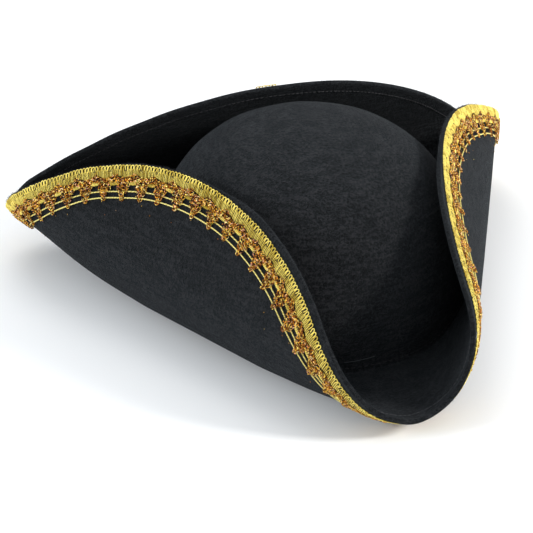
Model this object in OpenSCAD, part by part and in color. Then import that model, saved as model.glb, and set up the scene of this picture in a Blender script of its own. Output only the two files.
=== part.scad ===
// Three-cornered costume hat: a domed felt crown on a round felt brim that is turned up on three sides,
// with a woven gold braid sewn round the brim's outer face and a sweatband inside the crown.
// Millimetres. +Z is up, -Y points to the front corner, and the hat rests on z = 0.

/* [Crown] */
// Half of the crown's width at its foot
crown_half_w = 96.5; // [94:0.5:98]
// Half of the crown's length at its foot, front to back
crown_half_l = 99.5; // [97:0.5:101]
// Height of the crown above the brim
crown_h = 109; // [100:1:115]
// Fullness of the dome: 2 is an ellipsoid, more is squarer
crown_fullness = 2.5; // [2.2:0.1:2.8]
// Thickness of the crown's felt
crown_t = 3; // [2:0.5:3.5]

/* [Brim] */
// Mean radius of the flat felt disc that the brim is cut from
disc_r = 191; // [186:1:196]
// How far the disc's edge dips in at the three corners
disc_dip = 3.5; // [0:0.5:5]
// How far the disc's centre lies behind the point where the folds are measured from
disc_back = 10; // [8:1:12]
// How far the crown's centre lies in front of that point
crown_forward = 6.5; // [4:0.5:8]
// Thickness of the brim's felt
felt_t = 3; // [2:0.5:3.5]
// Upward slope of the brim outside the crown, as rise over run
brim_slope = 0.13; // [0.08:0.01:0.14]

/* [Folds] */
// Angle from straight ahead to the direction of each front fold
fold_spread = 64; // [62:1:66]
// Distance at which the two front folds start to bend
front_start = 72.5; // [70:0.5:75]
// Bend radius of the two front folds
front_r = 34; // [32:1:36]
// Angle that the two front flaps turn through
front_turn = 123; // [118:1:125]
// Distance at which the back fold starts to bend
back_start = 94; // [93:0.5:97]
// Bend radius of the back fold
back_r = 17; // [15:1:19]
// Angle that the back flap turns through
back_turn = 125; // [118:1:127]

/* [Side corners] */
// How much higher each side corner's tip stands than the folds alone would lift it
corner_lift = 8.5; // [0:0.5:9]
// Angle from straight back to each side corner
corner_angle = 64.5; // [62:0.5:67]
// Half-width of the lifted part, as an angle
corner_spread = 10; // [9:0.5:14]
// Distance from the disc's centre at which the lift starts
corner_start = 98; // [96:1:108]
// How much narrower the bare felt outside the braid is beside the side corners
edge_trim = 3; // [0:0.5:3]

/* [Braid] */
// Width of bare felt between the cut edge and the braid
braid_margin = 3.5; // [3:0.5:5]
// Width of the looped outer edge of the braid
picot_w = 3.5; // [3:0.5:4]
// Width of the woven gold band
header_w = 5; // [4.5:0.5:5.5]
// Width of the whole braid
braid_w = 18.5; // [18:0.5:19.5]
// Number of glitter motifs round the hat
motif_count = 78; // [72:2:84]
// Thickness of the two border cords
cord_t = 1; // [0.8:0.1:1]

/* [Inside] */
// Height of the sweatband
band_h = 28; // [24:1:30]
// Thickness of the sweatband
band_t = 1; // [0.6:0.1:1.2]
// Width of the overlap where the sweatband's ends meet
band_join_w = 12; // [8:1:14]
// Width of the blank size label
label_w = 20; // [14:1:24]
// Height of the blank size label
label_h = 15; // [10:1:18]

/* [Sewing] */
// Thickness of the sewing thread
thread_t = 0.4; // [0.3:0.1:0.5]
// Number of stitches in each seam inside or beside the crown
seam_stitches = 60; // [40:4:72]
// Number of stitches that hold the braid
braid_stitches = 120; // [80:4:132]

/* [Detail] */
// Number of steps round the hat
steps = 120; // [96:12:132]
// Number of steps from the crown's foot to its top
crown_rows = 9; // [8:1:10]

/* [Hidden] */

gap = 0.3;                        // air between pieces that lie against each other
plate_gap = 0.5;                  // air under a flat piece that lies on a curved one
corner_crowding = 0.5;            // how much closer together the steps are at the corners, as a share
stitch_share = 0.6;               // how much of a stitch's pitch is thread
probe = 0.05;                     // half the span over which the felt's slope is measured
search_steps = 24;                // halvings in the search for the crown's foot
search_near = 40;                 // nearest to the disc's edge that the crown's foot can lie
search_far = 130;                 // furthest from it
brim_spans = 7;                   // steps from the crown's foot to the braid
half_felt = felt_t / 2;
flat_rim = 5;                     // width of flat brim outside the crown's foot
slope_start = crown_half_l + flat_rim;
crown_y = -crown_forward;
trim_middle = 89;                 // angle from straight back to the middle of the trimmed part
trim_half = 29;                   // half of the trimmed part
trim_fade = 14;                   // angle over which the trimming fades out
band_face = crown_t + plate_gap + band_t; // depth of the sweatband's inner face in the crown
band_low = 1;                     // height of the sweatband's lower edge above the opening's rim
seam_height = 2.5;                // height of the crown's seam above the brim
band_seam_height = 4;             // height of the sweatband's seam above the opening's rim

// Each fold is [direction, start, bend radius, turn].
FOLDS = [
    [270 - fold_spread, front_start, front_r, front_turn],
    [270 + fold_spread, front_start, front_r, front_turn],
    [90, back_start, back_r, back_turn]
];

// Layers of the braid, measured out from the felt's middle surface
motif_t = 1;                      // thickness of the motifs and knots
overlap_t = 0.8;                  // thickness of the overlapping end
layer_1 = half_felt + gap;        // underside of the band, the loops and the cords
layer_2 = layer_1 + cord_t + plate_gap; // underside of the glitter motifs and knots
layer_3 = layer_2 + motif_t + gap; // underside of the overlapping end
layer_4 = layer_3 + overlap_t;    // top of the overlapping end

// Distances of the braid's parts from the felt's cut edge
picot_end = braid_margin + picot_w;
header_start = picot_end + gap;
header_end = picot_end + header_w;
braid_end = braid_margin + braid_w;
peak_reach = 2.5;                 // how far up the band the glitter motifs' peaks reach
window_w = 3.4;                   // distance between the two cords
knot_w = 2;                       // width of a knot
knot_gap = 0.4;                   // gap between a motif's column and its knot
peak_start = header_end - peak_reach;
lower_cord = braid_end - cord_t / 2;
upper_cord = lower_cord - window_w;
column_end = lower_cord - knot_w / 2 - knot_gap;

// ---------------------------------------------------------------- felt surface

function unit(v) = v / norm(v);
function mix(a, b, t) = a + (b - a) * t;
function turn_of(length, r) = length / r * 180 / PI;

// How a fold moves a point that lies s along its direction: [outwards, up]
function fold_move(s, fold) =
    let (
        r = fold[2],
        past = max(0, s - fold[1]),
        curved = min(past, r * fold[3] * PI / 180),
        straight = past - curved,
        a = turn_of(curved, r)
    )
    [r * sin(a) + straight * cos(fold[3]) - past, r * (1 - cos(a)) + straight * sin(fold[3])];

function fold_shift(q, fold) =
    let (out = [cos(fold[0]), sin(fold[0])], m = fold_move(q * out, fold))
    [m[0] * out[0], m[0] * out[1], m[1]];

// Rise of the brim outside the crown
function edge_rise(q) = brim_slope * max(0, norm(q - [0, crown_y]) - slope_start);

// Extra rise towards the tips of the two side corners
function corner_rise(q) =
    let (
        from_centre = q - [0, disc_back],
        outwards = max(0, norm(from_centre) - corner_start) / (disc_r - corner_start),
        aside = (abs(atan2(from_centre[0], from_centre[1])) - corner_angle) / corner_spread
    )
    corner_lift * outwards * exp(-aside * aside);

// Middle surface of the folded brim at a point q of the flat disc
function felt_mid(q) =
    [q[0], q[1], half_felt + edge_rise(q) + corner_rise(q)]
    + fold_shift(q, FOLDS[0]) + fold_shift(q, FOLDS[1]) + fold_shift(q, FOLDS[2]);

// The normal points up on the flat part, so it points to the crown on the flaps
function felt_normal(q) =
    unit(cross(felt_mid(q + [probe, 0]) - felt_mid(q - [probe, 0]),
        felt_mid(q + [0, probe]) - felt_mid(q - [0, probe])));

function felt(q, h) = felt_mid(q) + h * felt_normal(q);

// Point of the flat disc at an angle, a distance d in from the untrimmed edge
function disc_point(angle, d) =
    [0, disc_back] + (disc_r - disc_dip * cos(3 * (angle + 90)) - d) * [cos(angle), sin(angle)];

function on_felt(angle, d, h) = felt(disc_point(angle, d), h);

// Distance of the cut edge from the untrimmed one
function trim_at(angle) =
    let (
        from_back = abs((angle + 90) % 360 - 180),
        t = min(1, max(0, 1 - (abs(from_back - trim_middle) - trim_half) / trim_fade))
    )
    edge_trim * t * t * (3 - 2 * t);

// ---------------------------------------------------------------- crown surface

// 1 on the crown's surface (taken in by inset), less inside it
function crown_level(p, inset) =
    let (
        across = norm([p[0] / (crown_half_w - inset), (p[1] - crown_y) / (crown_half_l - inset)]),
        up = max(0, p[2] - half_felt) / (crown_h - inset)
    )
    pow(pow(across, crown_fullness) + pow(up, crown_fullness), 1 / crown_fullness);

function crown_angle(p, inset) =
    atan2((p[1] - crown_y) / (crown_half_l - inset), p[0] / (crown_half_w - inset));

// Climb angle of a point of the crown's surface: 0 at the foot, 90 at the top
function climb_of(z, inset) = asin(pow(max(0, z - half_felt) / (crown_h - inset), crown_fullness / 2));

function on_crown(angle, climb, inset) =
    let (across = pow(cos(climb), 2 / crown_fullness), up = pow(sin(climb), 2 / crown_fullness))
    [
        (crown_half_w - inset) * across * cos(angle),
        crown_y + (crown_half_l - inset) * across * sin(angle),
        half_felt + (crown_h - inset) * up
    ];

function at_height(angle, z, inset) = on_crown(angle, climb_of(z, inset), inset);

// Distance in from the cut edge at which the felt, h off its middle, meets the crown's surface
function foot_depth(angle, h, inset, near = search_near, far = search_far, left = search_steps) =
    let (middle = (near + far) / 2)
    left == 0 ? middle
    : crown_level(on_felt(angle, middle, h), inset) > 1
        ? foot_depth(angle, h, inset, middle, far, left - 1)
        : foot_depth(angle, h, inset, near, middle, left - 1);

// ---------------------------------------------------------------- tables of points round the hat

STEP_ANGLES = [
    for (i = [0 : steps - 1])
        let (even = 90 + 360 * i / steps)
        even - turn_of(corner_crowding / 3, 1) * sin(3 * (even - 270))
];
TOP_INNER = [for (a = STEP_ANGLES) foot_depth(a, half_felt, crown_t)];
TOP_OUTER = [for (a = STEP_ANGLES) foot_depth(a, half_felt, 0)];
UNDER_INNER = [for (a = STEP_ANGLES) foot_depth(a, -half_felt, crown_t)];
UNDER_OUTER = [for (a = STEP_ANGLES) foot_depth(a, -half_felt, 0)];

// Distances from the untrimmed edge of one row across the brim, from the head opening outwards
function brim_row(inner, outer, cut) = [
    inner,
    for (k = [0 : brim_spans]) mix(outer, braid_end, k / brim_spans),
    mix(braid_end, braid_margin, 0.5),
    braid_margin,
    cut
];

BRIM_POINTS = [
    for (i = [0 : steps - 1])
        let (
            cut = trim_at(STEP_ANGLES[i]),
            top = brim_row(TOP_INNER[i], TOP_OUTER[i], cut),
            under = brim_row(UNDER_INNER[i], UNDER_OUTER[i], cut)
        )
        [
            for (d = top) on_felt(STEP_ANGLES[i], d, half_felt),
            for (k = [len(under) - 1 : -1 : 0]) on_felt(STEP_ANGLES[i], under[k], -half_felt)
        ]
];
ALL_YS = [
    for (row = BRIM_POINTS) for (p = row) p[1],
    for (a = STEP_ANGLES) for (d = [braid_margin, peak_start, upper_cord, braid_end])
        on_felt(a, d, -layer_2 - motif_t)[1]
];
middle_y = (min(ALL_YS) + max(ALL_YS)) / 2; // the origin lies under the middle of the hat

FEET_OUTER = [for (i = [0 : steps - 1]) on_felt(STEP_ANGLES[i], TOP_OUTER[i], half_felt) + [0, 0, gap]];
FEET_INNER = [for (i = [0 : steps - 1]) on_felt(STEP_ANGLES[i], TOP_INNER[i], half_felt) + [0, 0, gap]];

// ---------------------------------------------------------------- solids from rings of points

BRICK_FACES = [
    [0, 1, 2], [0, 2, 3], [4, 6, 5], [4, 7, 6], [0, 5, 1], [0, 4, 5],
    [1, 6, 2], [1, 5, 6], [2, 7, 3], [2, 6, 7], [3, 4, 0], [3, 7, 4]
];

// A closed ring: rings is a list of equal closed sections, one for each step round the hat.
// Rings that lie on each other split their four-sided faces along the same diagonal.
module closed_ring(rings, other_diagonal = false) {
    n = len(rings);
    m = len(rings[0]);
    polyhedron(
        points = [for (ring = rings) each ring],
        faces = [
            for (i = [0 : n - 1])
                for (k = [0 : m - 1])
                    let (
                        a = i * m + k,
                        b = i * m + (k + 1) % m,
                        c = (i + 1) % n * m + (k + 1) % m,
                        d = (i + 1) % n * m + k
                    )
                    each other_diagonal ? [[a, d, b], [b, d, c]] : [[a, c, b], [a, d, c]]
        ]
    );
}

// A group of separate blocks, each given as its four lower and four upper corners
module blocks(corners) {
    polyhedron(
        points = [for (block = corners) each block],
        faces = [
            for (i = [0 : len(corners) - 1])
                for (face = BRICK_FACES)
                    [for (v = face) v + 8 * i]
        ]
    );
}

// A block lying on the brim between two distances from the edge, with its own width at each
function felt_block(angle, near, far, near_w, far_w, low, high) = [
    for (h = [min(low, high), max(low, high)])
        each [
            on_felt(angle - turn_of(near_w / 2, disc_r), near, h),
            on_felt(angle + turn_of(near_w / 2, disc_r), near, h),
            on_felt(angle + turn_of(far_w / 2, disc_r), far, h),
            on_felt(angle - turn_of(far_w / 2, disc_r), far, h)
        ]
];

// A block lying on the crown's surface between two angles and two heights above its foot
function crown_block(angle, width, low_z, high_z, inset_a, inset_b) =
    let (half = turn_of(width / 2, crown_half_w))
    [
        for (inset = [max(inset_a, inset_b), min(inset_a, inset_b)])
            each [
                at_height(angle - half, low_z, inset),
                at_height(angle + half, low_z, inset),
                at_height(angle + half, high_z, inset),
                at_height(angle - half, high_z, inset)
            ]
    ];

// A band of the braid: a rectangular section between two distances from the edge
module braid_ring(near, far, low, high) {
    closed_ring([
        for (a = STEP_ANGLES)
            [on_felt(a, near, -low), on_felt(a, near, -high), on_felt(a, far, -high), on_felt(a, far, -low)]
    ], true);
}

// ---------------------------------------------------------------- sub-parts

// Blocked felt dome, standing on the brim round the head opening
module crown() {
    function meridian(foot, inset) =
        let (angle = crown_angle(foot, inset), start = climb_of(foot[2], inset))
        [for (k = [0 : crown_rows - 1]) on_crown(angle, mix(start, 90, k / crown_rows), inset)];
    outer = [for (p = FEET_OUTER) meridian(p, 0)];
    inner = [for (p = FEET_INNER) meridian(p, crown_t)];
    tops = [on_crown(0, 90, 0), on_crown(0, 90, crown_t)];
    half_count = steps * crown_rows;
    function skin(first) = [
        for (i = [0 : steps - 1])
            let (next = (i + 1) % steps)
            each [
                for (k = [0 : crown_rows - 2])
                    let (
                        a = first + i * crown_rows + k,
                        b = first + next * crown_rows + k
                    )
                    each [[a, b + 1, b], [a, a + 1, b + 1]]
            ]
    ];
    function cap(first, top) = [
        for (i = [0 : steps - 1])
            [
                first + i * crown_rows + crown_rows - 1,
                top,
                first + (i + 1) % steps * crown_rows + crown_rows - 1
            ]
    ];
    function flip(faces) = [for (f = faces) [f[0], f[2], f[1]]];
    foot = [
        for (i = [0 : steps - 1])
            let (a = i * crown_rows, b = (i + 1) % steps * crown_rows)
            each [[a, b, a + half_count], [b, b + half_count, a + half_count]]
    ];
    color("#2b2c31")
        polyhedron(
            points = [for (m = outer) each m, for (m = inner) each m, each tops],
            faces = [
                each skin(0),
                each cap(0, 2 * half_count),
                each flip(skin(half_count)),
                each flip(cap(half_count, 2 * half_count + 1)),
                each foot
            ]
        );
}

// Flat felt disc with the head opening cut out, turned up along three folds
module brim() {
    color("#26272b") closed_ring(BRIM_POINTS);
}

// Running stitches that join the crown's foot to the brim
module crown_seam_stitches() {
    pitch = 360 / seam_stitches;
    length = stitch_share * 2 * PI * crown_half_w / seam_stitches;
    color("#3c3d42")
        blocks([
            for (i = [0 : seam_stitches - 1])
                let (
                    angle = 90 + pitch * (i + 0.5),
                    foot = on_felt(angle, foot_depth(angle, half_felt, 0), half_felt),
                    z = foot[2] + seam_height
                )
                crown_block(crown_angle(foot, 0), length, z, z + thread_t, -gap, -gap - thread_t)
        ]);
}

// Point of the crown's inner face on the underside of the head opening
function opening_edge(angle) = on_felt(angle, foot_depth(angle, -half_felt, crown_t), -half_felt);

// Ribbon round the inside of the head opening, which covers the seam
module sweatband() {
    outer = crown_t + plate_gap;
    inner = outer + band_t;
    color("#18181b")
        closed_ring([
            for (a = STEP_ANGLES)
                let (edge = opening_edge(a), angle = crown_angle(edge, crown_t), low = edge[2] + band_low)
                [
                    at_height(angle, low, inner),
                    at_height(angle, low + band_h, inner),
                    at_height(angle, low + band_h, outer),
                    at_height(angle, low, outer)
                ]
        ]);
}

// Overlapping end of the sweatband, at the back
module sweatband_join() {
    low = opening_edge(90)[2] + band_low + plate_gap;
    high = low + band_h - 2 * plate_gap;
    inset = band_face + plate_gap;
    color("#202024")
        blocks([crown_block(90, band_join_w, low, high, inset, inset + band_t)]);
}

// Stitches along the lower edge of the sweatband
module sweatband_stitches() {
    pitch = 360 / seam_stitches;
    length = stitch_share * 2 * PI * (crown_half_w - crown_t) / seam_stitches;
    inset = band_face + plate_gap;
    behind_join = band_join_w / 2 + length;
    color("#3c3d42")
        blocks([
            for (i = [0 : seam_stitches - 1])
                let (
                    angle = 90 + pitch * (i + 0.5),
                    edge = opening_edge(angle),
                    z = edge[2] + band_seam_height,
                    block = crown_block(crown_angle(edge, crown_t), length, z, z + thread_t,
                        inset, inset + thread_t)
                )
                if (abs(block[0][0]) > behind_join || block[0][1] < 0) block
        ]);
}

// Blank woven label, sewn flat to the sweatband beside its join
module size_label() {
    label_t = 0.4;
    beside = 20;
    low = 8;
    air = 4 * plate_gap;
    across = norm([(crown_half_w - crown_t) * sin(beside), (crown_half_l - crown_t) * cos(beside)]);
    sag = pow(label_w / 2, 2) / (2 * crown_half_w);
    reach = across - (band_face - crown_t) - sag - air;
    color("#e4e2dc")
        translate([0, crown_y, half_felt + low])
            rotate([0, 0, -beside])
                translate([-label_w / 2, reach - label_t, 0])
                    cube([label_w, label_t, label_h]);
}

// Woven gold band of the braid
module braid_header_band() {
    color("#d9ac1f") braid_ring(header_start, header_end, layer_1, layer_1 + cord_t);
}

// Looped outer edge of the braid, as one strip
module braid_picot_edge() {
    color("#e6bd33") braid_ring(braid_margin, picot_end, layer_1, layer_1 + cord_t);
}

// Glitter motifs: each has a wide peak on the band and narrows to a column across the cords
module braid_glitter_motifs() {
    pitch = 360 / motif_count;
    motif_w = 2 * PI * disc_r / motif_count;
    peak_w = 0.42 * motif_w;
    column_w = 0.2 * motif_w;
    color("#a8641c")
        blocks([
            for (i = [0 : motif_count - 1])
                felt_block(90 + pitch * (i + 0.5), peak_start, column_end, peak_w, column_w,
                    -layer_2, -layer_2 - motif_t)
        ]);
}

// Cord that borders the windows above
module braid_upper_cord() {
    color("#e0b42a")
        braid_ring(upper_cord - cord_t / 2, upper_cord + cord_t / 2, layer_1, layer_1 + cord_t);
}

// Cord along the braid's inner edge
module braid_lower_cord() {
    color("#e0b42a")
        braid_ring(lower_cord - cord_t / 2, lower_cord + cord_t / 2, layer_1, layer_1 + cord_t);
}

// A small knot on the lower cord below each motif
module braid_knots() {
    pitch = 360 / motif_count;
    color("#b9741d")
        blocks([
            for (i = [0 : motif_count - 1])
                felt_block(90 + pitch * (i + 0.5), lower_cord - knot_w / 2, lower_cord + knot_w / 2,
                    knot_w, knot_w, -layer_2, -layer_2 - motif_t)
        ]);
}

// Where the braid's two ends meet at the back, one end lies over the other
module braid_end_overlap() {
    overlap_w = 12;
    color("#d9ac1f")
        blocks([felt_block(90, braid_margin, braid_end, overlap_w, overlap_w, -layer_3, -layer_4)]);
}

// Stitches that hold the braid, seen on the inner face of the flaps
module braid_stitches() {
    pitch = 360 / braid_stitches;
    length = stitch_share * 2 * PI * disc_r / braid_stitches;
    depth = picot_end;
    color("#55565b")
        blocks([
            for (i = [0 : braid_stitches - 1])
                felt_block(90 + pitch * (i + 0.5), depth, depth + thread_t, length, length,
                    half_felt + gap + plate_gap, half_felt + gap + plate_gap + thread_t)
        ]);
}

// Moves a sub-part from the folds' own centre to the hat's origin
module placed() {
    translate([0, -middle_y, 0]) children();
}

placed() crown();
placed() brim();
placed() crown_seam_stitches();
placed() sweatband();
placed() sweatband_join();
placed() sweatband_stitches();
placed() size_label();
placed() braid_header_band();
placed() braid_picot_edge();
placed() braid_glitter_motifs();
placed() braid_upper_cord();
placed() braid_lower_cord();
placed() braid_knots();
placed() braid_end_overlap();
placed() braid_stitches();
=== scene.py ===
import math

import bpy
import numpy as np
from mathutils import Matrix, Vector


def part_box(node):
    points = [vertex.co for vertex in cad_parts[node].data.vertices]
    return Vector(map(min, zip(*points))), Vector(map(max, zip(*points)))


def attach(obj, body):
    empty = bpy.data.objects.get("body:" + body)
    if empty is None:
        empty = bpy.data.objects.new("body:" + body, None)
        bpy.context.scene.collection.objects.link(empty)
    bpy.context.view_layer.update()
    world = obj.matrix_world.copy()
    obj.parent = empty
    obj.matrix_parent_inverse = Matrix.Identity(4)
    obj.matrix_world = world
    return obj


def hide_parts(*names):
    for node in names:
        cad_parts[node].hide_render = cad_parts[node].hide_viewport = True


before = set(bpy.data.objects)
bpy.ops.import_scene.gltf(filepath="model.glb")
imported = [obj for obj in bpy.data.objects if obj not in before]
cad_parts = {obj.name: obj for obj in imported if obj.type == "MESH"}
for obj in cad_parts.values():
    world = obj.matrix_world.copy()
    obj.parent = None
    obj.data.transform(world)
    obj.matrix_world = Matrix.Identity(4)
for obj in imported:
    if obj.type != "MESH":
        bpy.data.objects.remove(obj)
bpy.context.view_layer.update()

# A black felt three-cornered hat with a woven gold braid. Metres and radians, +Z up, -Y to the front corner.

# ---------------------------------------------------------------- sizes

# Crown
CROWN_HALF_W = 0.0965          # half of the width at the foot
CROWN_HALF_L = 0.0995          # half of the length at the foot
CROWN_H = 0.109                # height above the brim
CROWN_FULLNESS = 2.5           # 2 is an ellipsoid, more is squarer
CROWN_T = 0.003                # thickness of the felt

# Brim: a flat felt disc, folded along three directions
DISC_R = 0.191                 # mean radius
DISC_DIP = 0.0035              # how far the edge dips in at the corners
DISC_BACK = 0.010              # the disc's centre lies this far behind the folds' own centre
CROWN_FORWARD = 0.0065         # the crown's centre lies this far in front of it
FELT_T = 0.003                 # thickness of the felt
HALF_FELT = FELT_T / 2
EDGE_ROUND = 0.0009            # rounding of the cut edge
BRIM_SLOPE = 0.13              # rise over run outside the crown
SLOPE_START = CROWN_HALF_L + 0.005
FOLD_SPREAD = math.radians(64)
FRONT = -math.pi / 2
BACK = math.pi / 2
FOLDS = (                      # direction, start, bend radius, turn
    (FRONT - FOLD_SPREAD, 0.0725, 0.034, math.radians(123)),
    (FRONT + FOLD_SPREAD, 0.0725, 0.034, math.radians(123)),
    (BACK, 0.094, 0.017, math.radians(125)),
)

# The side corners' tips stand higher than the folds alone would lift them
CORNER_LIFT = 0.0085
CORNER_ANGLE = math.radians(64.5)    # from straight back
CORNER_SPREAD = math.radians(10)
CORNER_START = 0.098           # distance from the disc's centre

# The cut edge lies closer to the braid beside the side corners
EDGE_TRIM = 0.003
TRIM_MIDDLE = math.radians(89)       # from straight back
TRIM_HALF = math.radians(29)
TRIM_FADE = math.radians(14)

# Unevenness of the felt
FELT_UNEVEN = 0.0004           # height of the waves in it
BRIM_WAVES = (0.031, 0.047, 0.071)   # their lengths
CROWN_WAVES = (0.026, 0.039, 0.058)
UNEVEN_FADE = 0.02             # they fade out over this distance towards the crown
PROBE = 0.0003                 # half the span over which its slope is measured
AIR = 0.00005                  # between the crown's foot and the brim

# Braid: distances from the disc's untrimmed edge
BRAID_MARGIN = 0.0033
PICOT_END = 0.0064             # the loops' ends, under the woven band
SATIN_START = 0.0060
SATIN_HIGH = 0.0089            # the woven band's lower edge over the windows
SATIN_LOW = 0.0110             # and over the glitter columns
BAND_END = 0.0134              # lower edge of the glitter band over the windows
UPPER_CORD = 0.0179
LOWER_CORD = 0.0213
SEWING_LINE = 0.007            # the stitches on the flaps' inner face
MOTIF_COUNT = 78               # glitter columns, with a window between each two
BRAID_R = DISC_R - 0.012       # radius at which the braid's pitches are measured
MOTIF_W = 2 * math.pi * BRAID_R / MOTIF_COUNT
BRAID_LIFT = 0.0003            # air between the felt and the braid's threads
END_LIFT = 0.0023              # how much higher the braid's overlapping end lies
END_W = 0.012                  # its width

# Sewing and lining
SEAM_HEIGHT = 0.0025           # the crown's seam above the brim
GLINT_THREAD_START = math.radians(-99)       # a short pale thread on the crown near its foot, a painted glint
GLINT_THREAD_END = math.radians(-88)
GLINT_THREAD_HEIGHT = 0.0098
BAND_H = 0.028
BAND_T = 0.001
BAND_LOW = 0.001               # height of the sweatband's lower edge above the opening's rim
BAND_SEAM_HEIGHT = 0.004
BAND_JOIN_W = 0.012
PLATE_GAP = 0.0005
BAND_FACE = CROWN_T + PLATE_GAP + BAND_T   # how far its inner face lies inside the crown's outer one
LABEL_W = 0.020
LABEL_H = 0.015
LABEL_T = 0.0004
LABEL_LOW = 0.008
LABEL_BESIDE = math.radians(20)      # from straight back to the label

crown_low, crown_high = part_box("crown")
CROWN_Y = (crown_low.y + crown_high.y) / 2
FOLD_Y = CROWN_Y + CROWN_FORWARD

rng = np.random.default_rng(1720)


# ---------------------------------------------------------------- the felt's surface

def unit(v):
    return v / np.linalg.norm(v, axis=-1, keepdims=True)


def waves(p, waves_list, seed):
    """A smooth unevenness between about -1 and 1: a sum of plane waves of the given wavelengths."""
    chooser = np.random.default_rng(seed)
    total = np.zeros(p.shape[:-1])
    for length in waves_list:
        direction = unit(chooser.normal(size=p.shape[-1]))
        total += np.sin(2 * math.pi * (p @ direction) / length + chooser.uniform(0, 2 * math.pi))
    return total / len(waves_list)


def fold_shift(q, direction, start, radius, turn):
    """How a fold moves the points q of the flat disc."""
    out = np.array([math.cos(direction), math.sin(direction)])
    past = np.maximum(0, q @ out - start)
    curved = np.minimum(past, radius * turn)
    straight = past - curved
    a = curved / radius
    outward = radius * np.sin(a) + straight * math.cos(turn) - past
    up = radius * (1 - np.cos(a)) + straight * math.sin(turn)
    return np.stack([outward * out[0], outward * out[1], up], -1)


def corner_rise(q):
    """Extra rise towards the tips of the two side corners."""
    x, y = q[..., 0], q[..., 1] - DISC_BACK
    outwards = np.maximum(0, np.hypot(x, y) - CORNER_START) / (DISC_R - CORNER_START)
    aside = (np.abs(np.arctan2(x, y)) - CORNER_ANGLE) / CORNER_SPREAD
    return CORNER_LIFT * outwards * np.exp(-aside ** 2)


def felt_mid(q):
    """Middle surface of the folded brim at points q of the flat disc."""
    from_crown = np.hypot(q[..., 0], q[..., 1] + CROWN_FORWARD) - SLOPE_START
    rise = BRIM_SLOPE * np.maximum(0, from_crown)
    uneven = FELT_UNEVEN * waves(q, BRIM_WAVES, 5) * np.clip(from_crown / UNEVEN_FADE, 0, 1)
    height = HALF_FELT + rise + corner_rise(q) + uneven
    flat = np.stack([q[..., 0], q[..., 1] + FOLD_Y, height], -1)
    return flat + sum(fold_shift(q, *fold) for fold in FOLDS)


def felt_normal(q):
    """It points to the crown's side of the felt."""
    dx, dy = np.array([PROBE, 0]), np.array([0, PROBE])
    return unit(np.cross(felt_mid(q + dx) - felt_mid(q - dx), felt_mid(q + dy) - felt_mid(q - dy)))


def disc_point(angle, d):
    """Point of the flat disc at an angle, a distance d in from the untrimmed edge."""
    angle, d = np.broadcast_arrays(angle, d)
    r = DISC_R - DISC_DIP * np.cos(3 * (angle - FRONT)) - d
    return np.stack([r * np.cos(angle), DISC_BACK + r * np.sin(angle)], -1)


def on_felt(angle, d, h):
    """Points h off the felt's middle surface, and the felt's normals there."""
    q = disc_point(angle, d)
    normal = felt_normal(q)
    return felt_mid(q) + np.asarray(h)[..., None] * normal, normal


def trim_at(angle):
    """Distance of the cut edge from the untrimmed one."""
    from_back = np.abs((angle - BACK + math.pi) % (2 * math.pi) - math.pi)
    t = np.clip(1 - (np.abs(from_back - TRIM_MIDDLE) - TRIM_HALF) / TRIM_FADE, 0, 1)
    return EDGE_TRIM * t * t * (3 - 2 * t)


def on_braid(angle, d, lift):
    """Points on the flaps' outer face, lift above the felt, and the directions away from the felt."""
    points, normal = on_felt(angle, d, -(HALF_FELT + np.asarray(lift)))
    return points, -normal


# ---------------------------------------------------------------- the crown's surface

FOOT_BETWEEN = (0.04, 0.13)    # the crown's foot is looked for between these distances from the edge
FOOT_HALVINGS = 24


def crown_level(p, inset):
    """1 on the crown's surface (taken in by inset), less inside it."""
    across = np.hypot(p[..., 0] / (CROWN_HALF_W - inset), (p[..., 1] - CROWN_Y) / (CROWN_HALF_L - inset))
    up = np.maximum(0, p[..., 2] - HALF_FELT) / (CROWN_H - inset)
    return (across ** CROWN_FULLNESS + up ** CROWN_FULLNESS) ** (1 / CROWN_FULLNESS)


def crown_angle(p, inset):
    return np.arctan2((p[..., 1] - CROWN_Y) / (CROWN_HALF_L - inset), p[..., 0] / (CROWN_HALF_W - inset))


def climb_of(z, inset):
    """Climb angle of a point of the crown's surface: 0 at the foot, a quarter turn at the top."""
    return np.arcsin((np.maximum(0, z - HALF_FELT) / (CROWN_H - inset)) ** (CROWN_FULLNESS / 2))


def on_crown(angle, climb, inset):
    across = np.maximum(0, np.cos(climb)) ** (2 / CROWN_FULLNESS)
    up = np.maximum(0, np.sin(climb)) ** (2 / CROWN_FULLNESS)
    return np.stack([
        (CROWN_HALF_W - inset) * across * np.cos(angle),
        CROWN_Y + (CROWN_HALF_L - inset) * across * np.sin(angle),
        HALF_FELT + (CROWN_H - inset) * up + 0 * angle,
    ], -1)


def at_height(angle, z, inset):
    return on_crown(angle, climb_of(z, inset), inset)


def foot_depth(angle, h, inset):
    """Distance in from the cut edge at which the felt, h off its middle, meets the crown's surface."""
    near, far = (np.full(angle.shape, depth) for depth in FOOT_BETWEEN)
    for _ in range(FOOT_HALVINGS):
        middle = (near + far) / 2
        outside = crown_level(on_felt(angle, middle, h)[0], inset) > 1
        near, far = np.where(outside, middle, near), np.where(outside, far, middle)
    return (near + far) / 2


def foot(angle, h, inset):
    """Point where the felt, h off its middle, meets the crown's surface."""
    return on_felt(angle, foot_depth(angle, h, inset), h)[0]


def around(count, shift=0.0):
    """The angles of count equal steps round the hat, starting at the back."""
    return BACK + 2 * math.pi * (np.arange(count) + shift) / count


# ---------------------------------------------------------------- meshes

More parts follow.
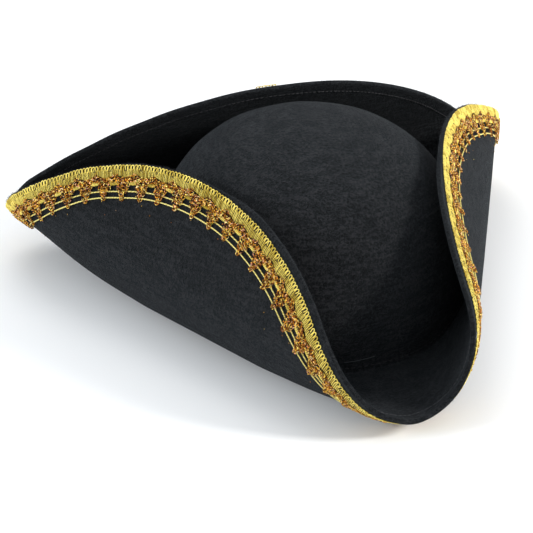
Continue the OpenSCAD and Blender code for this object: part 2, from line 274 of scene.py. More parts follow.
def add_mesh(name, points, faces, material, nodes=(), tone=None):
    """A smooth mesh that rides with the hat. faces is a list of (m, k) arrays of corner numbers."""
    mesh = bpy.data.meshes.new(name)
    points = np.ascontiguousarray(points, np.float32).reshape(-1, 3)
    sizes = np.concatenate([np.full(len(f), f.shape[1]) for f in faces])
    corners = np.concatenate([f.ravel() for f in faces]).astype(np.int32)
    mesh.vertices.add(len(points))
    mesh.vertices.foreach_set("co", points.ravel())
    mesh.loops.add(len(corners))
    mesh.loops.foreach_set("vertex_index", corners)
    mesh.polygons.add(len(sizes))
    mesh.polygons.foreach_set("loop_start", (np.cumsum(sizes) - sizes).astype(np.int32))
    mesh.update(calc_edges=True)
    mesh.shade_smooth()
    if tone is not None:
        mesh.attributes.new("tone", "FLOAT", "POINT").data.foreach_set("value", tone.astype(np.float32))
    mesh.materials.append(material)
    piece = bpy.data.objects.new(name, mesh)
    bpy.context.scene.collection.objects.link(piece)
    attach(piece, "root")
    if nodes:
        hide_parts(*nodes)
    return piece


def grid_faces(columns, rows, close_columns=True, close_rows=False):
    """Four-sided faces of a grid of columns x rows points, whose numbers run along each column."""
    i = np.arange(columns if close_columns else columns - 1)[:, None]
    k = np.arange(rows if close_rows else rows - 1)[None, :]
    following, above = (i + 1) % columns, (k + 1) % rows
    corners = [i * rows + k, following * rows + k, following * rows + above, i * rows + above]
    return np.stack([np.broadcast_to(c, (i.size, k.size)) for c in corners], -1).reshape(-1, 4)


def tubes(paths, across, radius, sides, closed=False):
    """Points and faces of round tubes along paths (tubes, steps, 3). across gives a direction that is never
    along the path; radius is one number, or one for each step."""
    count, steps = paths.shape[:2]
    if closed:
        along = unit(np.roll(paths, -1, 1) - np.roll(paths, 1, 1))
    else:
        along = unit(np.gradient(paths, axis=1))
    across = unit(across - (across * along).sum(-1, keepdims=True) * along)
    other = np.cross(along, across)
    turn = 2 * math.pi * np.arange(sides) / sides
    ring = np.cos(turn)[:, None] * across[:, :, None] + np.sin(turn)[:, None] * other[:, :, None]
    points = paths[:, :, None] + np.broadcast_to(radius, (count, steps))[..., None, None] * ring
    first = np.arange(count)[:, None, None] * steps
    k = np.arange(steps if closed else steps - 1)[None, :, None]
    j = np.arange(sides)[None, None, :]
    here, ahead = (first + k) * sides, (first + (k + 1) % steps) * sides
    beside = (j + 1) % sides
    corners = np.broadcast_arrays(here + j, here + beside, ahead + beside, ahead + j)
    faces = [np.stack(corners, -1).reshape(-1, 4)]
    if not closed:
        starts = (first[:, 0] * sides + np.arange(sides))
        ends = ((first[:, 0] + steps - 1) * sides + np.arange(sides))
        faces += [starts[:, ::-1], ends]
    return points, faces


UPRIGHT = np.array([0, 0, 1.0])      # a direction across the level stitches
ASLANT = np.array([0.1, 0.2, 1.0])   # one that no fibre or stitch lies along


def add_tubes(name, paths, across, radius, sides, material, nodes=(), closed=False):
    """A piece made of tubes, each with a shade of its own in the tone attribute."""
    points, faces = tubes(paths, across, radius, sides, closed)
    tone = np.repeat(rng.uniform(0, 1, len(paths)), points[0].size // 3)
    return add_mesh(name, points, faces, material, nodes, tone)


# ---------------------------------------------------------------- materials

class Nodes:
    """A short way to build a node material."""

    def __init__(self, name):
        self.material = bpy.data.materials.new(name)
        self.material.use_nodes = True
        self.tree = self.material.node_tree
        self.shader = self.tree.nodes["Principled BSDF"]

    def add(self, kind, inputs=(), **settings):
        """A node with its settings and inputs: an input is a value or another node's socket."""
        node = self.tree.nodes.new(kind)
        for key, value in settings.items():
            setattr(node, key, value)
        for key, value in dict(inputs).items():
            self.put(node.inputs[key], value)
        return node

    def put(self, socket, value):
        if isinstance(value, bpy.types.NodeSocket):
            self.tree.links.new(value, socket)
        else:
            socket.default_value = value

    def set(self, **values):
        """Sockets of the shader, with _ for a space."""
        for key, value in values.items():
            self.put(self.shader.inputs[key.replace("_", " ")], value)

    def noise(self, vector, scale, detail=2.0, roughness=0.5, distortion=0.0):
        return self.add("ShaderNodeTexNoise", {
            "Vector": vector, "Scale": scale, "Detail": detail, "Roughness": roughness,
            "Distortion": distortion,
        }).outputs["Fac"]

    def stretched(self, scale):
        """Object coordinates, stretched."""
        place = self.add("ShaderNodeTexCoord").outputs["Object"]
        return self.add("ShaderNodeMapping", {"Vector": place, "Scale": scale}).outputs["Vector"]

    def ramp(self, fac, stops):
        """Colours at places from 0 to 1."""
        node = self.add("ShaderNodeValToRGB", {"Fac": fac})
        elements = node.color_ramp.elements
        while len(elements) < len(stops):
            elements.new(0.5)
        for element, (place, colour) in zip(elements, stops):
            element.position = place
            element.color = (*colour, 1)
        return node.outputs["Color"]

    def mix(self, fac, a, b):
        """Colour a where fac is 0, b where it is 1."""
        node = self.add("ShaderNodeMix", data_type="RGBA")
        self.put(node.inputs["Factor"], fac)
        for socket, value in ((node.inputs[6], a), (node.inputs[7], b)):
            self.put(socket, value if isinstance(value, bpy.types.NodeSocket) else (*value, 1))
        return node.outputs[2]

    def average(self, *parts):
        """Weighted mean of sockets, each given as (socket, weight)."""
        total = sum(weight for _, weight in parts)
        mean = 0.0
        for socket, weight in parts:
            mean = self.add("ShaderNodeMath", {0: socket, 1: weight / total, 2: mean},
                            operation="MULTIPLY_ADD").outputs[0]
        return mean

    def bump(self, height, strength, distance):
        return self.add("ShaderNodeBump", {
            "Height": height, "Strength": strength, "Distance": distance,
        }).outputs["Normal"]


FELT_TINT = (0.97, 0.97, 1.05)
LINT_PALER = 3.5               # how much paler loose fibres are than the felt's pale tufts


def felt_material(name, dark, pale):
    """Black needled felt: matted fibres in tufts, faint ripples across the cloth and pale loose fibres."""
    m = Nodes(name)
    cloth = m.stretched((1, 1, 1))
    tuft = m.noise(cloth, 640, 3, 0.7, 0.8)
    fibre = m.noise(cloth, 1500, 2, 0.7, 2.0)
    ripple = m.noise(m.stretched((0.25, 0.25, 1.8)), 330, 2, 0.5, 0.4)
    mottle = m.noise(cloth, 70, 2, 0.5)
    tone = m.average((tuft, 1), (fibre, 0.4), (ripple, 0.4), (mottle, 0.12))
    wool = m.ramp(tone, [(0.47, [dark * c for c in FELT_TINT]), (0.57, [pale * c for c in FELT_TINT])])
    lint = m.ramp(m.noise(cloth, 3000, 1, 0.5, 6.0), [(0.70, (0, 0, 0)), (0.76, (1, 1, 1))])
    m.set(
        Base_Color=m.mix(lint, wool, [LINT_PALER * pale * c for c in FELT_TINT]),
        Roughness=0.95, Specular_IOR_Level=0.12,
        Sheen_Weight=0.07, Sheen_Roughness=0.5, Sheen_Tint=(0.75, 0.88, 1.0, 1),
        Normal=m.bump(m.average((tuft, 1), (fibre, 0.5), (ripple, 0.35)), 1.0, 0.004),
    )
    return m.material


def thread_material(name, dark, pale, metallic=0.0, roughness=0.5):
    """Twisted thread: each stitch has its own shade."""
    m = Nodes(name)
    place = m.stretched((1, 1, 1))
    twist = m.noise(place, 2600, 2, 0.6)
    own = m.add("ShaderNodeAttribute", attribute_name="tone").outputs["Fac"]
    tone = m.average((twist, 1), (own, 0.7), (m.noise(place, 60), 0.4))
    m.set(
        Base_Color=m.ramp(tone, [(0.32, dark), (0.58, pale)]), Metallic=metallic, Roughness=roughness,
        Normal=m.bump(twist, 0.5, 0.00015),
    )
    return m.material


def glitter_material(name):
    """Copper-coloured metal yarn: bits of film that flash in copper, gold, pink and a little green."""
    m = Nodes(name)
    place = m.stretched((1, 1, 1))
    cells = m.add("ShaderNodeTexVoronoi", {"Vector": place, "Scale": 1300.0}).outputs
    pick = m.add("ShaderNodeSeparateColor", {"Color": cells["Color"]}).outputs
    film = m.ramp(pick[0], [
        (0.0, (0.02, 0.004, 0.001)), (0.24, (0.13, 0.030, 0.002)), (0.44, (0.40, 0.125, 0.006)),
        (0.60, (0.74, 0.28, 0.018)), (0.73, (0.98, 0.60, 0.07)), (0.86, (1.0, 0.84, 0.24)),
        (0.92, (0.85, 0.32, 0.26)), (0.96, (1.0, 0.80, 0.45)), (1.0, (0.40, 0.45, 0.06)),
    ])
    m.set(
        Base_Color=film, Metallic=0.75,
        Roughness=m.add("ShaderNodeMapRange", {"Value": pick[1], "To Min": 0.18, "To Max": 0.5}).outputs[0],
        Normal=m.bump(pick[2], 0.8, 0.0002),
    )
    return m.material


def cloth_material(name, dark, pale, rib_scale):
    """Ribbed ribbon or label cloth."""
    m = Nodes(name)
    rib = m.noise(m.stretched(rib_scale), 1, 2, 0.5)
    m.set(
        Base_Color=m.ramp(rib, [(0.3, dark), (0.7, pale)]), Roughness=0.7, Sheen_Weight=0.2,
        Normal=m.bump(rib, 0.6, 0.0002),
    )
    return m.material


felt_crown_look = felt_material("felt_crown", 0.001, 0.0255)
felt_brim_look = felt_material("felt_brim", 0.001, 0.0228)
# The edge fibres are coloured paler than the felt: a painted highlight for fibres that catch the light.
fibre_highlight_look = felt_material("felt_fibres", 0.02, 0.06)
gold_look = thread_material("gold_thread", (0.50, 0.33, 0.006), (1.0, 0.81, 0.17), 0.15, 0.34)
core_look = thread_material("gold_core", (0.02, 0.011, 0.001), (0.06, 0.036, 0.003), 0.0, 0.7)
cord_look = thread_material("gold_cord", (0.60, 0.47, 0.08), (0.98, 0.85, 0.30), 0.1, 0.42)
glitter_look = glitter_material("copper_glitter")
black_thread_look = thread_material("black_thread", (0.010, 0.010, 0.012), (0.03, 0.03, 0.034))
grey_thread_look = thread_material("grey_thread", (0.020, 0.020, 0.023), (0.06, 0.06, 0.066))
# Pale thread: its paleness is a painted glint near the crown's foot.
glint_thread_look = thread_material("pale_thread", (0.05, 0.055, 0.06), (0.10, 0.11, 0.12))
ribbon_look = cloth_material(
    "sweatband_ribbon", (0.008, 0.008, 0.010), (0.028, 0.028, 0.032), (1800, 1800, 120))
label_look = cloth_material(
    "label_cloth", (0.55, 0.54, 0.50), (0.80, 0.79, 0.75), (2500, 2500, 2500))


# ---------------------------------------------------------------- camera

CAMERA_AZIMUTH = math.radians(-19.46)
CAMERA_ELEVATION = math.radians(30.47)
CAMERA_DISTANCE = 1.706
CAMERA_LENS = 192.6            # mm, on a 36 mm sensor
CAMERA_AIM = Vector((-0.0281, FOLD_Y - 0.0081, 0.0226))


def direction(azimuth, elevation):
    """Azimuth runs from straight in front of the hat (-Y) to its right (+X)."""
    return Vector((
        math.sin(azimuth) * math.cos(elevation),
        -math.cos(azimuth) * math.cos(elevation),
        math.sin(elevation),
    ))


def add_camera():
    """A long lens that looks down at the hat from its front left."""
    camera = bpy.data.objects.new("camera", bpy.data.cameras.new("camera"))
    bpy.context.scene.collection.objects.link(camera)
    camera.data.lens = CAMERA_LENS
    camera.data.sensor_width = 36
    back = direction(CAMERA_AZIMUTH, CAMERA_ELEVATION)
    camera.location = CAMERA_AIM + CAMERA_DISTANCE * back
    camera.rotation_mode = "QUATERNION"
    camera.rotation_quaternion = (-back).to_track_quat("-Z", "Y")
    bpy.context.scene.camera = camera


# ---------------------------------------------------------------- felt

BRIM_COLUMNS = 720
BRIM_ROWS = 54
CROWN_COLUMNS = 480
CROWN_ROWS = 96
FOOT_FLARE = 0.0012            # how far the crown's foot flares out
ROW_PACKING = 1.7              # above 1, the crown's rows lie closer together at the foot
FIBRE_COUNT = 5000             # loose fibres at the cut edge
FIBRE_R = 0.00003
FIBRE_LENGTHS = (0.0003, 0.0010)


def add_brim():
    """The folded disc as one closed ring: out over the top, round the cut edge and back underneath."""
    angle = around(BRIM_COLUMNS)
    share = np.linspace(0, 1, BRIM_ROWS)
    corner = np.linspace(0, math.pi / 2, 5)
    edge_d = EDGE_ROUND * (1 - np.sin(corner))
    edge_h = HALF_FELT - EDGE_ROUND * (1 - np.cos(corner))
    depths, heights = [], []
    cut = trim_at(angle)[:, None]
    for side in (1, -1):
        inner = foot_depth(angle, side * HALF_FELT, CROWN_T)[:, None]
        depths.append(np.hstack([inner + (cut + EDGE_ROUND - inner) * share, cut + edge_d[1:]]))
        heights.append(side * np.concatenate([np.full(BRIM_ROWS, HALF_FELT), edge_h[1:]]))
    d = np.hstack([depths[0], depths[1][:, ::-1]])
    h = np.concatenate([heights[0], heights[1][::-1]])
    points = on_felt(angle[:, None], d, h)[0]
    faces = grid_faces(BRIM_COLUMNS, points.shape[1], close_rows=True)
    brim = add_mesh("felt_brim", points, [faces[:, ::-1]], felt_brim_look, ["brim"])


def crown_skin(feet, inset, flare):
    """Rows of points from the foot to near the top of the dome, taken in by inset. The foot flares out a
    little, as blocked felt does where it turns into the brim."""
    start = climb_of(feet[:, 2], inset)[:, None]
    share = (np.arange(CROWN_ROWS) / CROWN_ROWS) ** ROW_PACKING
    climb = start + (math.pi / 2 - start) * share
    points = on_crown(crown_angle(feet, inset)[:, None], climb, inset)
    outward = unit(points - np.array([0, CROWN_Y, CROWN_H / 3]))
    uneven = waves(points, CROWN_WAVES, 9) * np.clip(np.sin(climb) * 4, 0, 1)
    level = unit((points - np.array([0, CROWN_Y, 0])) * np.array([1, 1, 0]))
    above = points[..., 2] - feet[:, None, 2]
    flared = (flare * np.exp(-above / flare))[..., None] * level
    return points + (FELT_UNEVEN * uneven)[..., None] * outward + flared


def add_crown():
    """The dome: an outer and an inner skin, closed at the top and along the foot's rim."""
    angle = around(CROWN_COLUMNS)
    air = np.array([0, 0, AIR])
    outer = crown_skin(foot(angle, HALF_FELT, 0) + air, 0, FOOT_FLARE)
    inner = crown_skin(foot(angle, HALF_FELT, CROWN_T) + air, CROWN_T, FOOT_FLARE / 10)
    half = CROWN_COLUMNS * CROWN_ROWS
    tops = np.array([outer[:, -1].mean(0), inner[:, -1].mean(0)])
    tops[:, 2] = HALF_FELT + CROWN_H - np.array([0, CROWN_T])
    skin = grid_faces(CROWN_COLUMNS, CROWN_ROWS)
    first = np.arange(CROWN_COLUMNS) * CROWN_ROWS
    after = np.roll(first, -1)
    last = CROWN_ROWS - 1
    cap = np.stack([first + last, after + last, np.full(CROWN_COLUMNS, 2 * half)], -1)
    inner_cap = np.stack([after + last + half, first + last + half, np.full(CROWN_COLUMNS, 2 * half + 1)], -1)
    rim = np.stack([after, first, first + half, after + half], -1)
    points = np.concatenate([outer.reshape(-1, 3), inner.reshape(-1, 3), tops])
    crown = add_mesh("felt_crown", points, [skin, skin[:, ::-1] + half, cap, inner_cap, rim],
                     felt_crown_look, ["crown"])


def add_edge_fibres():
    """Short loose fibres that stand out of the brim's cut edge."""
    count, steps = FIBRE_COUNT, 4
    angle = rng.uniform(0, 2 * math.pi, (count, 1))
    h = rng.uniform(-1, 1, (count, 1)) * HALF_FELT
    length = rng.uniform(*FIBRE_LENGTHS, (count, 1))
    lean = rng.normal(0, 0.6, (count, 2, 1))
    out = np.linspace(-0.2, 1, steps)
    d = trim_at(angle) + 0.0001 - length * out
    points = on_felt(angle + lean[:, 0] * length * out / DISC_R, d, h + lean[:, 1] * length * out ** 2)[0]
    # Their pale colour is a painted highlight.
    add_tubes("felt_fibres", points, ASLANT, FIBRE_R, 3, fibre_highlight_look)


# ---------------------------------------------------------------- lining and seams

BAND_COLUMNS = 480
BAND_ROWS = 12
JOIN_COLUMNS = 24
LABEL_ROWS = 10
BAND_UNEVEN = 0.0002           # height of the waves in the sweatband
BAND_WAVES = (0.05, 0.08)      # their lengths
LABEL_AIR = 0.0004             # the label lies this far off the sweatband
JOIN_AIR = 0.0004              # stitches this close to the join lie over it
SEAM_STITCHES = 190
SEAM_STITCH = 0.0021           # length of one
STITCH_R = 0.00018
BAND_STITCH_R = 0.0002
STITCH_LIFT = 0.0003           # a stitch's middle stands this far off the cloth
STITCH_DIP = 0.0004            # its ends go in by this much on the felt
BAND_STITCH_DIP = 0.0003
GLINT_THREAD_R = 0.00013
GLINT_THREAD_RISE = 0.0012


def crown_slab(angle, low, high, inset_a, inset_b, rows, closed):
    """A slab on the crown's surface between two heights and two depths, with a column of points for each
    angle. low and high are heights for each angle."""
    up = np.linspace(0, 1, rows)
    z = low[:, None] + (high - low)[:, None] * up
    near = at_height(angle[:, None], z, np.asarray(inset_b)[..., None] + 0 * z)
    far = at_height(angle[:, None], z, np.asarray(inset_a)[..., None] + 0 * z)
    points = np.concatenate([near, far[:, ::-1]], 1)
    faces = [grid_faces(len(angle), 2 * rows, closed, True)]
    if not closed:
        ring = np.arange(2 * rows)[None]
        faces += [ring[:, ::-1], ring + (len(angle) - 1) * 2 * rows]
    return points, faces


def stitch_paths(count, length, place):
    """Paths of running stitches that dip at both ends. place(angle, dip) gives points."""
    along_share = np.linspace(-0.5, 0.5, 6)
    centre = around(count, 0.5)[:, None] + rng.normal(0, 0.04, (count, 1)) * length / CROWN_HALF_W
    size = length * rng.uniform(0.9, 1.1, (count, 1))
    return place(centre, size * along_share, (2 * along_share) ** 4)


def add_lining():
    """Sweatband with its overlapping end and stitches, the blank label, and the crown's seam with a short
    pale thread laid near it, which is a painted glint."""
    angle = around(BAND_COLUMNS)
    edge = foot(angle, -HALF_FELT, CROWN_T)
    turn = crown_angle(edge, CROWN_T)
    low = edge[:, 2] + BAND_LOW
    ease = BAND_UNEVEN * waves(edge, BAND_WAVES, 3)
    outer, inner = BAND_FACE - BAND_T + ease, BAND_FACE + ease
    points, faces = crown_slab(turn, low, low + BAND_H, outer, inner, BAND_ROWS, True)
    band = add_mesh("sweatband_ribbon", points, faces, ribbon_look, ["sweatband"])

    half = BAND_JOIN_W / 2 / CROWN_HALF_W
    turn = np.linspace(BACK - half, BACK + half, JOIN_COLUMNS)
    low = np.full(JOIN_COLUMNS, edge[0, 2] + BAND_LOW + PLATE_GAP)
    high = low + BAND_H - 2 * PLATE_GAP
    near = BAND_FACE + PLATE_GAP
    points, faces = crown_slab(turn, low, high, near, near + BAND_T, BAND_ROWS, False)
    end = add_mesh("sweatband_end", points, faces, ribbon_look, ["sweatband_join"])

    middle = BACK - LABEL_BESIDE
    turn = middle + np.linspace(-0.5, 0.5, JOIN_COLUMNS) * LABEL_W / CROWN_HALF_W
    low = np.full(JOIN_COLUMNS, HALF_FELT + LABEL_LOW)
    lift = BAND_FACE + LABEL_AIR
    points, faces = crown_slab(turn, low, low + LABEL_H, lift, lift + LABEL_T, LABEL_ROWS, False)
    label = add_mesh("blank_label", points, faces, label_look, ["size_label"])

    def on_band(centre, side, dip):
        edge = foot(centre, -HALF_FELT, CROWN_T)
        over_join = np.abs(edge[..., 0]) < BAND_JOIN_W / 2 + JOIN_AIR
        inset = BAND_FACE + np.where(over_join & (edge[..., 1] > CROWN_Y), PLATE_GAP + BAND_T, 0)
        turn = crown_angle(edge, CROWN_T) + side / CROWN_HALF_W
        inset = inset + BAND_STITCH_DIP * (1 - dip) - 0.0001
        return at_height(turn, edge[..., 2] + BAND_SEAM_HEIGHT + 0 * side, inset)

    paths = stitch_paths(SEAM_STITCHES, SEAM_STITCH, on_band)
    add_tubes("sweatband_sewing", paths, UPRIGHT, BAND_STITCH_R, 6, black_thread_look,
              ["sweatband_stitches"])

    def on_seam(centre, side, dip):
        edge = foot(centre, HALF_FELT, 0)
        turn = crown_angle(edge, 0) + side / CROWN_HALF_W
        inset = STITCH_DIP * dip - STITCH_LIFT - FOOT_FLARE * math.exp(-SEAM_HEIGHT / FOOT_FLARE)
        return at_height(turn, edge[..., 2] + SEAM_HEIGHT + 0 * side, inset)

    paths = stitch_paths(SEAM_STITCHES, SEAM_STITCH, on_seam)
    add_tubes("crown_seam", paths, UPRIGHT, STITCH_R, 6, black_thread_look,
              ["crown_seam_stitches"])

    # A short pale thread: its paleness is a painted glint near the crown's foot.
    share = np.linspace(0, 1, 16)
    turn = GLINT_THREAD_START + (GLINT_THREAD_END - GLINT_THREAD_START) * share
    glint_thread = at_height(turn, GLINT_THREAD_HEIGHT + GLINT_THREAD_RISE * share ** 2, -STITCH_LIFT)
    add_tubes("pale_glint_thread", glint_thread[None], UPRIGHT, GLINT_THREAD_R, 5, glint_thread_look,
              ["crown_seam_stitches"])


# ---------------------------------------------------------------- braid

# Picot loops
LOOP_COUNT = 470
LOOP_R = 0.00088               # half of a loop's width
LOOP_NARROWING = 0.25          # share by which its feet are closer together
LOOP_UNEVEN = 0.00035          # how much lower some loops are
LOOP_HUMP = 0.0003             # its middle stands this much higher off the felt
LOOP_LEAN = 0.00015
LOOP_TUCK = 0.0004             # its ends go this far under the woven band
HOLE_COUNT = 98                # small holes between the loops and the woven band
HOLE_PUSH = 0.0006             # the loops' feet move apart by this much at a hole
HOLE_REACH = 0.0018
HOLE_HALF = 0.0010             # half of a hole's width in the woven band
HOLE_DEPTH = 0.0008
THREAD_R = 0.0003              # radius of the loops' gold thread

# Woven band
SATIN_COUNT = 1080
SATIN_R = 0.00026              # radius of its gold thread
SATIN_SLANT = math.radians(8)
SATIN_UNEVEN = 0.00012         # unevenness of the threads' upper ends
SATIN_RAGGED = 0.0002          # and of the lower ones
SATIN_SHIFT = 0.00007          # and of their spacing
CORE_COUNT = 3
CORE_R = 0.0004                # radius of the core yarns under the threads
CORE_START = SATIN_START + 0.0008
FRINGE_HALF = 0.0027           # half of the width of the fringe over a window
FRINGE_LOOPS = 5
FRINGE_H = 0.0009

# Glitter yarn
YARN_R = 0.00026
YARN_LIFT = 0.0016             # how high it lies above the felt
YARN_STEP = 0.00024            # distance between the points of its way
ROW_STEP = 0.00080             # distance between its rows
CURL_R = 0.00050
YARN_WANDER = 0.0005
PEAK = (                       # a peak over a window: depths and half widths
    (0.0086, 0.0097, 0.0112, 0.0122, BAND_END),
    (0.0003, 0.0020, 0.0046, MOTIF_W / 2, MOTIF_W / 2),
)
COLUMN = (                     # a column between two windows
    (0.0110, 0.0122, BAND_END, 0.0146, 0.0173, UPPER_CORD, 0.0188, LOWER_CORD),
    (0.0030, 0.0060, 0.0056, 0.0046, 0.0042, 0.0031, 0.0026, 0.0012),
)
KNOT_R = 0.00095
KNOT_YARN_R = 0.00027
KNOT_LIFT = 0.0013
FLAKE_COUNT = 60               # loose bits of the yarn's film
FLAKE_R = 0.0003               # half the length of one
FLAKE_SPREAD = 0.006           # their mean distance from the braid

# Cords
CORD_R = 0.00026               # radius of one of a cord's two strands
CORD_TWIST_R = 0.0002
CORD_TURNS = 420
CORD_LIFT = 0.0009

BRAID_STITCHES = 400
BRAID_STITCH = 0.0019          # length of one


def along(angle, distance):
    """The angle that lies a distance further along the braid."""
    return angle + distance / BRAID_R


def from_repeat(angle, count, shift=0.0):
    """Distance along the braid to the nearest of count evenly spaced places."""
    share = (angle - BACK) * count / (2 * math.pi) - shift
    return (share - np.round(share)) * 2 * math.pi * BRAID_R / count


def picot_paths(centre, raised=0.0):
    """Loops of gold thread side by side along the braid's outer edge. They lean apart at the holes."""
    turn = np.linspace(0, math.pi, 8)
    leg = np.linspace(1, 0.2, 3)
    ends = PICOT_END + LOOP_TUCK
    count = len(centre)
    top = BRAID_MARGIN + THREAD_R + rng.uniform(0, LOOP_UNEVEN, count)[:, None]
    spring = top + LOOP_R
    reach = (ends - spring) * leg
    d = np.hstack([spring + reach, spring - LOOP_R * np.sin(turn), spring + reach[:, ::-1]])
    narrow = 1 - LOOP_NARROWING * leg
    side = LOOP_R * np.concatenate([narrow, np.cos(turn), -narrow[::-1]])
    hole = from_repeat(centre, HOLE_COUNT)
    apart = HOLE_PUSH * np.sign(hole) * np.exp(-(hole / HOLE_REACH) ** 2)
    down = (d - top) / (ends - top)
    lean = (rng.normal(0, LOOP_LEAN, count)[:, None] * (1 - down)) + apart[:, None] * down
    lift = BRAID_LIFT + THREAD_R + raised + LOOP_HUMP * np.sin(math.pi * np.clip(down, 0, 1))
    return on_braid(along(centre[:, None], side + lean), d, lift)


def satin_paths(start, raised=0.0):
    """Gold threads wound side by side over the core yarns. Their lower ends hang down over the glitter
    columns, and the upper ends leave small holes under the loops."""
    count = len(start)
    reach = np.linspace(0, 1, 13)
    near = SATIN_START + rng.uniform(-SATIN_UNEVEN, SATIN_UNEVEN, count)
    near += HOLE_DEPTH * (np.abs(from_repeat(start, HOLE_COUNT)) < HOLE_HALF)
    hang = 1 - np.abs(from_repeat(start, MOTIF_COUNT, 0.5)) / (MOTIF_W / 2)
    far = SATIN_HIGH + (SATIN_LOW - SATIN_HIGH) * hang + rng.uniform(-SATIN_RAGGED, SATIN_RAGGED, count)
    d = near[:, None] + (far - near)[:, None] * reach
    shaken = start + rng.normal(0, SATIN_SHIFT, count) / BRAID_R
    angle = along(shaken[:, None], math.tan(SATIN_SLANT) * (d - SATIN_START))
    over_cores = np.sin(math.pi * reach) ** 0.5 * (1 - 0.25 * np.cos(2 * CORE_COUNT * math.pi * reach))
    lift = BRAID_LIFT + SATIN_R + raised + (2 * CORE_R - 0.0001) * over_cores
    return on_braid(angle, d, lift)


def ring_path(count, d, lift, d_wave=0.0, lift_wave=0.0, waves_round=0, phase=0.0):
    """A closed line round the hat, with an optional spiral wave."""
    angle = around(count)
    wave = waves_round * (angle - BACK) + phase
    points, out = on_braid(angle, d + d_wave * np.cos(wave), lift + lift_wave * np.sin(wave))
    return points[None], out[None]


def fringe_paths(centre, raised=0.0):
    """Small gold loops along the upper edge of each window."""
    share = np.linspace(-1, 1, 41)
    wave = FRINGE_LOOPS * math.pi * share
    side = FRINGE_HALF * share + 0.0003 * np.sin(wave) + rng.normal(0, 0.0002, (len(centre), 1))
    d = BAND_END + 0.0003 + FRINGE_H * np.cos(wave) * (1 - 0.4 * share ** 2)
    lift = YARN_LIFT + raised + 0.0003 * np.sin(wave) + 0 * side
    return on_braid(along(centre[:, None], side), d, lift)


def glitter_guide(depths, halves):
    """The glitter yarn's way through a peak or column: (side, depth) points, row by row."""
    rows = []
    for k, d in enumerate(np.arange(depths[0], depths[-1] - ROW_STEP / 2, ROW_STEP)):
        half = np.interp(d, depths, halves)
        steps = max(3, int(round(2 * half / YARN_STEP)))
        side = np.linspace(-half, half, steps) * (1 if k % 2 == 0 else -1)
        rows.append(np.stack([side, np.full(steps, d)], -1))
    return np.concatenate(rows)


def glitter_paths(centre, shape, raised=0.0):
    """Curly copper yarn laid in rows over a peak or column."""
    guide = glitter_guide(*shape)
    count, steps = len(centre), len(guide)
    phase = rng.uniform(0, 2 * math.pi, (count, 1))
    curl = np.cumsum(rng.uniform(0.55, 1.15, (count, steps)), 1) + phase
    wander = rng.normal(0, YARN_WANDER, (count, steps, 2))
    for _ in range(4):
        wander = (wander + np.roll(wander, 1, 1) + np.roll(wander, -1, 1)) / 3
    side = guide[:, 0] + CURL_R * np.cos(curl) + wander[..., 0]
    d = guide[:, 1] + CURL_R * np.sin(curl) + wander[..., 1]
    lift = YARN_LIFT + raised + 0.0005 * np.sin(0.5 * curl + phase)
    return on_braid(along(centre[:, None], side), d, lift)


def knot_paths(centre, raised=0.0):
    """A small tangle of glitter yarn on the lower cord under each motif."""
    count = len(centre)
    t = np.linspace(0, 2 * math.pi, 44)
    size = rng.uniform(0.85, 1.15, (count, 1)) * KNOT_R
    turn = rng.uniform(0, 2 * math.pi, (count, 1))
    side = size * (np.cos(2 * t + turn) + 0.45 * np.cos(5 * t))
    d = LOWER_CORD + 0.0003 + size * (np.sin(2 * t + turn) + 0.45 * np.sin(5 * t))
    lift = KNOT_LIFT + raised + 0.0006 * np.sin(3 * t + turn)
    return on_braid(along(centre[:, None], side), d, lift)


def add_braid():
    """The trimming, strand by strand from its outer edge in."""
    paths, out = picot_paths(around(LOOP_COUNT, 0.5))
    add_tubes("picot_loops", paths, out, THREAD_R, 6, gold_look, ["braid_picot_edge"])
    for k, d in enumerate(np.linspace(CORE_START, SATIN_HIGH, CORE_COUNT)):
        paths, out = ring_path(720, d, BRAID_LIFT + CORE_R)
        add_tubes(f"header_core_{k + 1}", paths, out, CORE_R, 6, core_look,
                  ["braid_header_band"], closed=True)
    paths, out = satin_paths(around(SATIN_COUNT))
    add_tubes("header_satin", paths, out, SATIN_R, 6, gold_look, ["braid_header_band"])
    paths, out = fringe_paths(around(MOTIF_COUNT))
    add_tubes("window_fringe", paths, out, SATIN_R, 6, gold_look, ["braid_header_band"])
    for name, shape, shift in (("peaks", PEAK, 0.0), ("columns", COLUMN, 0.5)):
        for k, centre in enumerate(np.array_split(around(MOTIF_COUNT, shift), 2)):
            paths, out = glitter_paths(centre, shape)
            add_tubes(f"glitter_{name}_{k + 1}", paths, out, YARN_R, 5, glitter_look,
                      ["braid_glitter_motifs"])
    for name, d in (("upper", UPPER_CORD), ("lower", LOWER_CORD)):
        strands = [ring_path(2400, d, CORD_LIFT, CORD_TWIST_R, CORD_TWIST_R, CORD_TURNS, phase)
                   for phase in (0, math.pi)]
        paths = np.concatenate([s[0] for s in strands])
        out = np.concatenate([s[1] for s in strands])
        add_tubes(f"{name}_cord", paths, out, CORD_R, 5, cord_look,
                  [f"braid_{name}_cord"], closed=True)
    paths, out = knot_paths(around(MOTIF_COUNT, 0.5))
    add_tubes("glitter_knots", paths, out, KNOT_YARN_R, 5, glitter_look,
              ["braid_knots"])


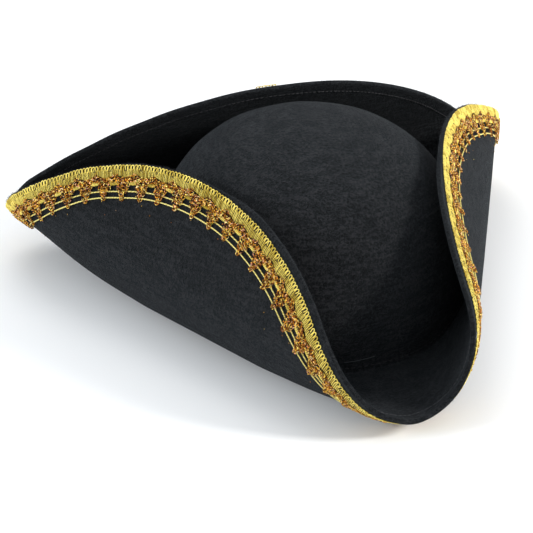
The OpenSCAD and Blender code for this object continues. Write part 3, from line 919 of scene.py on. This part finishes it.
def add_braid_end():
    """The trimming's end lies over its start at the back."""
    def across(count):
        return BACK + (np.arange(count) + 0.5 - count / 2) * END_W / count / BRAID_R

    node = ["braid_end_overlap"]
    gold = (gold_look, "gold_thread")
    glitter = (glitter_look, "copper_glitter_yarn")
    for name, (paths, out), radius, (look, slot) in (
        ("end_loops", picot_paths(across(6), END_LIFT), THREAD_R, gold),
        ("end_satin", satin_paths(across(13), END_LIFT), SATIN_R, gold),
        ("end_peak", glitter_paths(across(1), PEAK, END_LIFT), YARN_R, glitter),
        ("end_column", glitter_paths(across(1), COLUMN, END_LIFT), YARN_R, glitter),
        ("end_knot", knot_paths(across(1), END_LIFT), YARN_R, glitter),
    ):
        add_tubes(name, paths, out, radius, 6, look, node)
    share = np.linspace(-0.5, 0.5, 30)
    depths = np.array([CORE_START, SATIN_HIGH, UPPER_CORD, LOWER_CORD])[:, None]
    lift = BRAID_LIFT + CORE_R + END_LIFT + 0 * depths * share
    paths, out = on_braid(BACK + share * END_W / BRAID_R, depths, lift)
    add_tubes("end_cords", paths, out, CORE_R, 6, cord_look, node)


def add_braid_stitches():
    """Fine stitches on the flaps' inner face, from the seam that holds the braid."""
    def on_flap(centre, side, dip):
        lift = HALF_FELT + STITCH_LIFT - STITCH_DIP * dip
        return on_felt(along(centre, side), SEWING_LINE + 0 * side, lift)[0]

    paths = stitch_paths(BRAID_STITCHES, BRAID_STITCH, on_flap)
    add_tubes("braid_sewing", paths, ASLANT, STITCH_R, 6, grey_thread_look,
              ["braid_stitches"])


def add_flakes():
    """Bits of the glitter yarn's film that have come off and lie on the felt beside the braid."""
    angle = rng.uniform(0, 2 * math.pi, (FLAKE_COUNT, 1))
    heading = rng.uniform(0, 2 * math.pi, (FLAKE_COUNT, 1))
    share = np.linspace(-1, 1, 3) * FLAKE_R
    d = LOWER_CORD + 0.0015 + rng.exponential(FLAKE_SPREAD, (FLAKE_COUNT, 1))
    paths, out = on_braid(along(angle, share * np.cos(heading)), d + share * np.sin(heading), 0.0002)
    add_tubes("glitter_flakes", paths, out, 0.00018, 5, glitter_look,
              ["braid_glitter_motifs"])


# ---------------------------------------------------------------- floor and light

LIGHT_AIM = Vector((0, 0, 0.06))
LIGHT_DISTANCE = 2.3
FLOOR_HALF = 4.0
WORLD_STRENGTH = 0.7


def add_area(name, azimuth, elevation, size, power, colour):
    """A square light that looks at LIGHT_AIM from a direction in degrees."""
    light = bpy.data.objects.new(name, bpy.data.lights.new(name, "AREA"))
    bpy.context.scene.collection.objects.link(light)
    light.data.energy = power
    light.data.size = size
    light.data.color = colour
    back = direction(math.radians(azimuth), math.radians(elevation))
    light.location = LIGHT_AIM + LIGHT_DISTANCE * back
    light.rotation_mode = "QUATERNION"
    light.rotation_quaternion = (-back).to_track_quat("-Z", "Y")


def add_stage():
    """A pale floor, a weak sky and three soft lights."""
    mesh = bpy.data.meshes.new("floor")
    corners = [(x * FLOOR_HALF, y * FLOOR_HALF, 0) for x, y in ((-1, -1), (1, -1), (1, 1), (-1, 1))]
    mesh.from_pydata(corners, [], [(0, 1, 2, 3)])
    floor = bpy.data.objects.new("floor", mesh)
    bpy.context.scene.collection.objects.link(floor)
    m = Nodes("floor_paper")
    m.set(Base_Color=(0.96, 0.96, 0.96, 1), Roughness=0.9, Specular_IOR_Level=0.1)
    mesh.materials.append(m.material)
    world = bpy.data.worlds.new("studio")
    world.use_nodes = True
    background = world.node_tree.nodes["Background"]
    background.inputs["Color"].default_value = (0.92, 0.96, 1, 1)
    background.inputs["Strength"].default_value = WORLD_STRENGTH
    bpy.context.scene.world = world
    bpy.context.scene.view_settings.view_transform = "Standard"
    add_area("key_light", 60, 27, 0.45, 45, (1, 0.985, 0.96))
    add_area("fill_light", -95, 22, 1.0, 28, (0.93, 0.97, 1))
    add_area("back_light", 180, 50, 1.2, 14, (1, 1, 1))


add_camera()
add_stage()
add_brim()
add_edge_fibres()
add_crown()
add_lining()
add_braid()
add_braid_end()
add_braid_stitches()
add_flakes()
